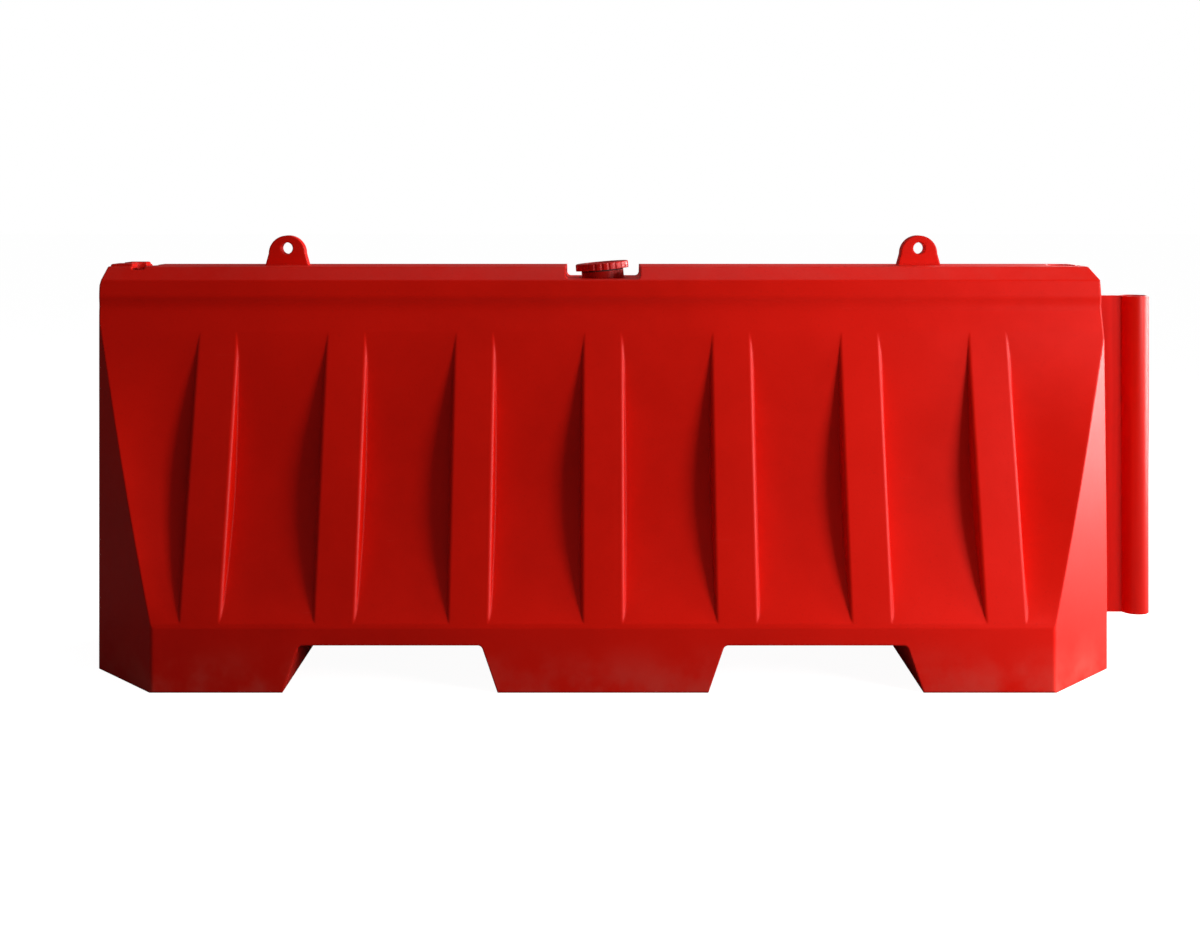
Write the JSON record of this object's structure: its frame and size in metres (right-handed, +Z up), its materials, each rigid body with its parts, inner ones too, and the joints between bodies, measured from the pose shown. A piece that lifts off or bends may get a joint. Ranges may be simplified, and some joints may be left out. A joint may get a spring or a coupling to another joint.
{
  "type": "water filled barrier",
  "caption": "Hollow plastic road barrier with ribbed sloping sides, fork tunnels, lifting lugs, a screwed filler cap and drain plug, and a slide-in coupling key.",
  "frame": {"origin": "on the ground, at the middle of the centre foot", "axes": "+X along the barrier towards the end that holds the coupling key, +Y towards the face with the drain, +Z up"},
  "size_m": [2.1175, 0.5, 0.8559],
  "materials": {
    "barrier_plastic": "satin rotationally moulded polyethylene",
    "key_plastic": "smooth extruded plastic",
    "cap_plastic": "smooth injection moulded plastic",
    "insert_plastic": "smooth injection moulded plastic",
    "seal_rubber": "matt rubber"
  },
  "bodies": {
    "barrier": {"barrier_shell": "barrier_plastic", "filler_neck": "insert_plastic", "drain_bush": "insert_plastic"},
    "coupling": {"coupling_key": "key_plastic"},
    "cap_seal": {"cap_gasket": "seal_rubber"},
    "cap": {"filler_cap": "cap_plastic"},
    "drain_seal": {"drain_gasket": "seal_rubber"},
    "plug": {"drain_plug": "cap_plastic"}
  },
  "joints": [
    {"name": "key_slide", "type": "slide", "parent": "barrier", "child": "coupling", "axis": [0, 0, 1], "range_m": [0, 0.71]},
    {"name": "cap_rise", "type": "slide", "parent": "barrier", "child": "cap_seal", "axis": [-0.0872, 0, 0.9962], "range_m": [0, 0.0211]},
    {"name": "cap_turn", "type": "hinge", "parent": "cap_seal", "child": "cap", "pos_m": [-0.00148, 0, 0.78694], "axis": [-0.0872, 0, 0.9962], "range_deg": [0, 1260]},
    {"name": "drain_rise", "type": "slide", "parent": "barrier", "child": "drain_seal", "axis": [0, 1, 0], "range_m": [0, 0.0181]},
    {"name": "drain_turn", "type": "hinge", "parent": "drain_seal", "child": "plug", "pos_m": [0, 0.2325, 0.046], "axis": [0, 1, 0], "range_deg": [0, 2160]}
  ],
  "couplings": [
    {"joint": "cap_rise", "follows": "cap_turn", "m_per_rad": 0.00095493},
    {"joint": "drain_rise", "follows": "drain_turn", "m_per_rad": 0.00047746}
  ]
}
